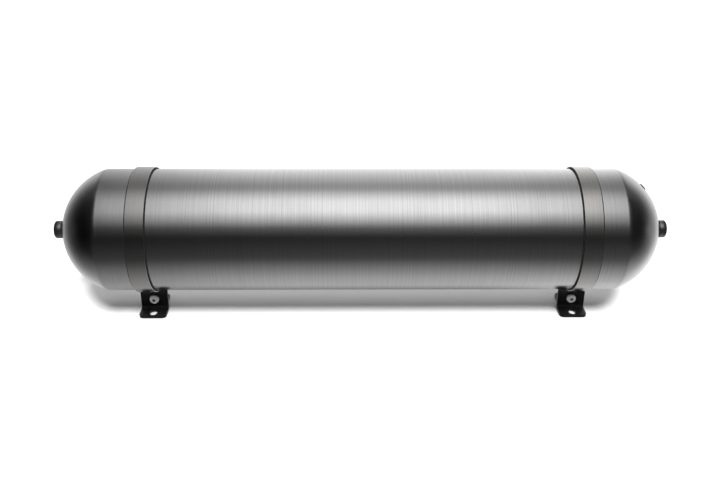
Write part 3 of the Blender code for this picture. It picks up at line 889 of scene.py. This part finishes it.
def make_foot(node, side, clamp, across, turn, material):
    """A foot that reaches towards +Y before it is turned."""
    place = clamp @ Matrix.Rotation(turn, 4, "Z")
    low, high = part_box(node)
    bm = swept_bmesh(foot_path(), flat_section(high.x - low.x, FOOT_THICKNESS))
    round_corners(bm, lambda middle: middle.y > FOOT_REACH - WELD, FOOT_CORNER)
    round_corners(bm, lambda middle: middle.z > FOOT_TOP - WELD, FOOT_TOP_CORNER)
    foot = add_object(finish_mesh(bm, "foot"), place)
    top = FOOT_THICKNESS - AXIS_HEIGHT + OVERRUN
    slot = prism_mesh("slot", slot_outline(), -AXIS_HEIGHT - OVERRUN, top, axis="Z")
    carve(foot, slot, place)
    carve(foot, bolt_hole(FOOT_REACH), across)
    soften(foot, FOOT_EDGE)
    take_over(foot, node, f"clamp_{side}", material)


def make_bolt(side, across, material):
    """A button-head bolt with a hexagon socket, its head at the front."""
    seat = BOLT_TOP + BOLT_HEAD_HEIGHT
    round_height = BOLT_HEAD_HEIGHT - BOLT_HEAD_RIM
    flat = BOLT_HEAD_RADIUS * math.cos(math.radians(BOLT_HEAD_FLAT_DEGREES))
    dome = [
        (
            seat - BOLT_HEAD_RIM - round_height * math.sin(math.radians(degrees)),
            BOLT_HEAD_RADIUS * math.cos(math.radians(degrees)),
        )
        for degrees in BOLT_HEAD_DOME_DEGREES
    ]
    end = BOLT_TIP - BOLT_TIP_CHAMFER
    profile = (
        [(BOLT_TOP, 0.0), (BOLT_TOP, flat)]
        + dome
        + [(seat, BOLT_HEAD_RADIUS)]
        + thread_rows(seat, end, BOLT_RADIUS, BOLT_PITCH)
        + [(BOLT_TIP, BOLT_RADIUS - BOLT_TIP_CHAMFER), (BOLT_TIP, 0.0)]
    )
    thread = Thread(seat, end, BOLT_PITCH, -BOLT_THREAD_DEPTH, BOLT_RADIUS)
    bolt = add_object(turned_mesh("bolt", profile, SMALL_SEGMENTS, threads=[thread]), across)
    socket = prism_mesh(
        "bolt_socket",
        hexagon(BOLT_SOCKET_WIDTH),
        BOLT_TOP - OVERRUN,
        BOLT_TOP + BOLT_SOCKET_DEPTH,
    )
    carve(bolt, socket, across)
    take_over(bolt, f"clamp_bolt_{side}", f"clamp_{side}", material)


def ring_mesh(name, start, end, inner, outer, edge):
    """A flat ring with all four of its edges rounded."""
    profile = [(start, inner), (start, outer), (end, outer), (end, inner)]
    return turned_mesh(
        name, eased(profile, dict.fromkeys(range(4), edge)), SMALL_SEGMENTS, closed=True
    )


def make_washer(node, side, sign, across, material):
    """A flat washer, at the front (sign -1) or at the rear (sign 1)."""
    ends = sorted((sign * WASHER_LOW.y, sign * WASHER_HIGH.y))
    mesh = ring_mesh("washer", *ends, BOLT_HOLE_RADIUS, WASHER_RADIUS, WASHER_EDGE)
    take_over(add_object(mesh, across), node, f"clamp_{side}", material)


def make_lock_nut(side, across, looks):
    """A hexagon nut with a round collar at the rear, which holds a nylon ring."""
    start, end = NUT_LOW.y, NUT_HIGH.y
    hex_end = start + NUT_HEX_HEIGHT
    blank = NUT_WIDTH / math.sqrt(3) + CLEARANCE
    drop = NUT_CHAMFER * NUT_CHAMFER_SLOPE
    bore = BOLT_RADIUS + CLEARANCE
    recess = bore + INSERT_WALL + CLEARANCE
    recess_start = end - INSERT_THICKNESS - CLEARANCE
    shoulder = NUT_COLLAR_RADIUS
    body = [
        (start, 0.0),
        (start, blank - NUT_CHAMFER),
        (start + drop, blank),
        (hex_end - drop, blank),
        (hex_end, blank - NUT_CHAMFER),
        (hex_end, shoulder),
        (end - NUT_CHAMFER, shoulder),
        (end - NUT_CHAMFER * NUT_ROUND_ALONG, shoulder - NUT_CHAMFER * NUT_ROUND_ACROSS),
        (end, recess + WASHER_EDGE),
        (end, 0.0),
    ]
    hollow = [
        (start - OVERRUN, 0.0),
        (start - OVERRUN, bore),
        (recess_start, bore),
        (recess_start, recess),
        (end + OVERRUN, recess),
        (end + OVERRUN, 0.0),
    ]
    nut = add_object(turned_mesh("nut", body, SMALL_SEGMENTS), across)
    flats = prism_mesh("flats", hexagon(NUT_WIDTH), start - OVERRUN, end + OVERRUN)
    carve(nut, flats, across, "INTERSECT")
    carve(nut, turned_mesh("nut_bore", hollow, SMALL_SEGMENTS), across)
    take_over(nut, f"clamp_nut_{side}", f"clamp_{side}", looks["zinc"])
    ring = ring_mesh(
        "insert", recess_start + CLEARANCE, end, bore, bore + INSERT_WALL, WASHER_EDGE
    )
    insert = add_object(ring, across)
    take_over(insert, f"nut_insert_{side}", f"clamp_{side}", looks["nylon"])


def make_clamp(side, looks):
    """One clamp. Its bolt, washers and nut are made along X and turned to point to the rear."""
    low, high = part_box(f"clamp_band_{side}")
    clamp = Matrix.Translation(((low.x + high.x) / 2, 0.0, AXIS_HEIGHT))
    across = clamp @ Matrix.Translation((0.0, 0.0, BOLT_Z)) @ Matrix.Rotation(QUARTER, 4, "Z")
    make_band(side, clamp, across, looks)
    make_foot(f"foot_front_{side}", side, clamp, across, math.pi, looks["coated"])
    make_foot(f"foot_rear_{side}", side, clamp, across, 0.0, looks["coated"])
    make_bolt(side, across, looks["zinc"])
    make_washer(f"bolt_washer_{side}", side, -1, across, looks["zinc"])
    make_washer(f"nut_washer_{side}", side, 1, across, looks["zinc"])
    make_lock_nut(side, across, looks)


# Studio

# Direction round the tank's axis in degrees, and the light that comes from there: -180 is the
# rear horizon, -90 straight down, 0 the front horizon, 90 overhead and 180 the rear again
STUDIO_MIDDLE = (
    (-180, 0.95),  # floor behind the tank
    (-163, 0.95),
    (-148, 0.12),  # shadow behind the tank
    (-106, 0.48),  # floor below
    (-80, 0.40),
    (-32, 0.058),
    (10, 0.02),  # dark side of the room
    (27, 0.12),
    (58, 1.15),  # overhead soft box
    (78, 1.10),
    (104, 0.38),
    (114, 0.34),
    (180, 0.95),  # rear wall
)
STUDIO_ENDS = (
    (-180, 0.72),  # floor and wall beyond the ends
    (-138, 0.85),
    (-90, 0.38),
    (-42, 0.06),
    (0, 0.015),  # dark side of the room
    (90, 0.02),
    (130, 0.10),
    (180, 0.72),
)

# Sideways part of a direction, from 0 square to the tank to 1 along it, between which the
# light of the middle goes out and the light of the ends comes in
MIDDLE_FADE_LEFT = (0.10, 0.34)
MIDDLE_FADE_RIGHT = (0.20, 0.40)
ENDS_RISE = (0.14, 0.42)

# Strength of the ends' light on each side, and how much of it is lost, and from where, towards
# the direction straight along the tank
LEFT_LIGHT = 0.85
LEFT_LOSS = 0.95
LEFT_LOSS_START = 0.45
RIGHT_LIGHT = 1.15
RIGHT_LOSS = 0.80
RIGHT_LOSS_START = 0.60

BACKDROP_LIGHT = 1.05  # what the camera sees past the floor


def make_camera():
    forward = Vector(
        (
            math.sin(CAMERA_YAW) * math.cos(CAMERA_PITCH),
            math.cos(CAMERA_YAW) * math.cos(CAMERA_PITCH),
            -math.sin(CAMERA_PITCH),
        )
    )
    level = Vector((math.cos(CAMERA_YAW), -math.sin(CAMERA_YAW), 0.0))
    upright = level.cross(forward)
    right = level * math.cos(CAMERA_ROLL) + upright * math.sin(CAMERA_ROLL)
    up = upright * math.cos(CAMERA_ROLL) - level * math.sin(CAMERA_ROLL)
    camera = bpy.data.objects.new("camera", bpy.data.cameras.new("camera"))
    camera.data.lens = CAMERA_LENS
    camera.data.clip_start = 0.01
    camera.data.clip_end = 50.0
    camera.matrix_world = Matrix.Translation(CAMERA_PLACE) @ Matrix(
        (right, up, -forward)
    ).transposed().to_4x4()
    bpy.context.scene.collection.objects.link(camera)
    bpy.context.scene.camera = camera


def light_ramp(tree, factor, stops):
    """The light at a direction. The factor is 0 at -180 degrees and 1 at 180."""
    ramp = tree.nodes.new("ShaderNodeValToRGB")
    ramp.color_ramp.interpolation = "LINEAR"
    points = ramp.color_ramp.elements
    points.remove(points[0])
    for index, (degrees, light) in enumerate(stops):
        place = (degrees + 180) / 360
        point = points[0] if index == 0 else points.new(place)
        point.position = place
        point.color = (light, light, light, 1.0)
    tree.links.new(factor, ramp.inputs[0])
    return ramp.outputs[0]


def make_world():
    """Studio light by direction: an overhead soft box, a bright rear wall and a pale floor."""
    world = bpy.data.worlds.new("studio")
    bpy.context.scene.world = world
    world.use_nodes = True
    tree = world.node_tree
    tree.nodes.clear()

    def maths(operation, *values):
        node = tree.nodes.new("ShaderNodeMath")
        node.operation = operation
        for index, value in enumerate(values):
            if isinstance(value, bpy.types.NodeSocket):
                tree.links.new(value, node.inputs[index])
            else:
                node.inputs[index].default_value = value
        return node.outputs[0]

    def smooth(value, start, end):
        node = tree.nodes.new("ShaderNodeMapRange")
        node.interpolation_type = "SMOOTHSTEP"
        tree.links.new(value, node.inputs[0])
        node.inputs[1].default_value = start
        node.inputs[2].default_value = end
        return node.outputs[0]

    def scaled(light, amount):
        node = tree.nodes.new("ShaderNodeVectorMath")
        node.operation = "SCALE"
        tree.links.new(light, node.inputs[0])
        tree.links.new(amount, node.inputs["Scale"])
        return node.outputs[0]

    def end_share(sideways, light, loss, loss_start):
        """How much of the ends' light comes from a direction on one side."""
        lost = maths("MULTIPLY", smooth(sideways, loss_start, 1.0), loss)
        share = maths("MULTIPLY", smooth(sideways, *ENDS_RISE), maths("SUBTRACT", 1.0, lost))
        return maths("MULTIPLY", share, light)

    split = tree.nodes.new("ShaderNodeSeparateXYZ")
    coordinates = tree.nodes.new("ShaderNodeTexCoord")
    tree.links.new(coordinates.outputs["Generated"], split.inputs[0])
    x, y, z = split.outputs
    left = maths("MULTIPLY", x, -1.0)
    turn = maths("ARCTAN2", z, maths("MULTIPLY", y, -1.0))
    factor = maths("ADD", maths("DIVIDE", turn, math.tau), 0.5)
    outside = maths(
        "MAXIMUM", smooth(x, *MIDDLE_FADE_RIGHT), smooth(left, *MIDDLE_FADE_LEFT)
    )
    middle = scaled(light_ramp(tree, factor, STUDIO_MIDDLE), maths("SUBTRACT", 1.0, outside))
    ends = maths(
        "ADD",
        end_share(left, LEFT_LIGHT, LEFT_LOSS, LEFT_LOSS_START),
        end_share(x, RIGHT_LIGHT, RIGHT_LOSS, RIGHT_LOSS_START),
    )
    total = tree.nodes.new("ShaderNodeVectorMath")
    tree.links.new(middle, total.inputs[0])
    tree.links.new(scaled(light_ramp(tree, factor, STUDIO_ENDS), ends), total.inputs[1])
    lit = tree.nodes.new("ShaderNodeBackground")
    tree.links.new(total.outputs[0], lit.inputs[0])
    seen = tree.nodes.new("ShaderNodeBackground")
    seen.inputs[0].default_value = (1.0, 1.0, 1.0, 1.0)
    seen.inputs[1].default_value = BACKDROP_LIGHT
    paths = tree.nodes.new("ShaderNodeLightPath")
    mix = tree.nodes.new("ShaderNodeMixShader")
    tree.links.new(paths.outputs["Is Camera Ray"], mix.inputs[0])
    tree.links.new(lit.outputs[0], mix.inputs[1])
    tree.links.new(seen.outputs[0], mix.inputs[2])
    output = tree.nodes.new("ShaderNodeOutputWorld")
    tree.links.new(mix.outputs[0], output.inputs[0])


def make_floor():
    bm = bmesh.new()
    bmesh.ops.create_grid(bm, x_segments=1, y_segments=1, size=FLOOR_REACH)
    floor = add_object(finish_mesh(bm, "floor"), Matrix.Translation((0.0, 0.0, -FLOOR_DROP)))
    floor.visible_glossy = False
    finish = {"Base Color": (0.86, 0.86, 0.86, 1.0), "Roughness": 0.9, "Specular IOR Level": 0.1}
    shader = Shader("pale_floor", finish)
    floor.data.materials.append(shader.material)


def make_light(name, strength, softness, elevation, azimuth):
    """A distant soft light, with angles in degrees: azimuth 0 is the front, 90 the right."""
    data = bpy.data.lights.new(name, "SUN")
    data.energy = strength
    data.angle = math.radians(softness)
    light = bpy.data.objects.new(name, data)
    light.rotation_euler = (math.radians(90.0 - elevation), 0.0, math.radians(azimuth))
    light.visible_glossy = False
    bpy.context.scene.collection.objects.link(light)


def main():
    bpy.context.scene.view_settings.view_transform = "Standard"
    looks = {
        "shell": brushed_metal(
            "spun_aluminium",
            light=(0.86, 0.855, 0.86),
            dark=(0.745, 0.74, 0.745),
            rough=0.22,
            anisotropic=0.60,
            radial=1.0,
            line_width=0.00022,
            grain=0.03,
        ),
        "band": brushed_metal(
            "satin_steel",
            light=(0.73, 0.72, 0.71),
            dark=(0.64, 0.63, 0.62),
            rough=0.22,
            anisotropic=0.60,
            radial=0.0,
            line_width=0.00018,
            grain=0.02,
        ),
        "plug": black_anodised(),
        "rubber": black_rubber(),
        "coated": powder_coat(),
        "zinc": zinc_plate(),
        "nylon": nylon(),
    }
    make_camera()
    make_world()
    make_floor()
    make_light("key", strength=5.0, softness=14.0, elevation=51.5, azimuth=8.0)
    make_light("rear", strength=1.1, softness=30.0, elevation=55.0, azimuth=172.0)
    make_shell(looks["shell"])
    make_gauge_plug(looks["plug"])
    for side, turn in (("left", math.pi), ("right", 0.0)):
        make_end_plug(side, turn, looks)
        make_clamp(side, looks)


main()
